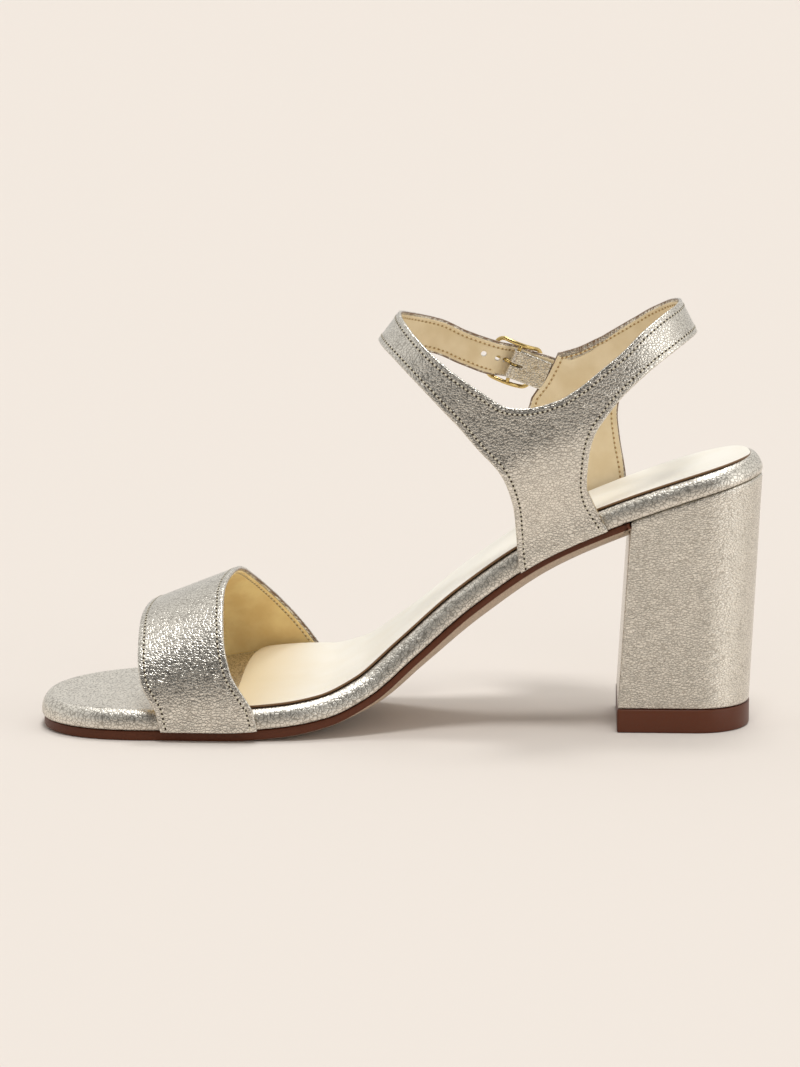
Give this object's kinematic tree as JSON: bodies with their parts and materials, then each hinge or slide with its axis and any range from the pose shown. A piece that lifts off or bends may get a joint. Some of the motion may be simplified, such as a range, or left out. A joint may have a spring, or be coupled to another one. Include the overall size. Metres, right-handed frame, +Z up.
{
  "type": "heeled sandal",
  "caption": "Right-foot open-toe sandal on a tall block heel, with a wide vamp band and an ankle strap that closes with a small buckle.",
  "frame": {"origin": "middle of the sandal's box, on the floor that it stands on", "axes": "+X from the toe to the heel, +Y from the medial (inner) side to the lateral (outer) side, +Z up"},
  "size_m": [0.2326, 0.085, 0.1373],
  "materials": {
    "metallic_leather": "pebbled metallic",
    "sole_leather": "satin",
    "lift_rubber": "satin",
    "sock_leather": "smooth",
    "buckle_metal": "polished"
  },
  "bodies": {
    "root": {"heel_lift": "lift_rubber", "heel_block": "metallic_leather", "outsole": "sole_leather", "footbed": "metallic_leather", "sock_lining": "sock_leather", "vamp_band": "metallic_leather", "ankle_upper": "metallic_leather", "buckle_tab": "metallic_leather", "buckle_frame": "buckle_metal", "buckle_prong": "buckle_metal"}
  },
  "joints": []
}
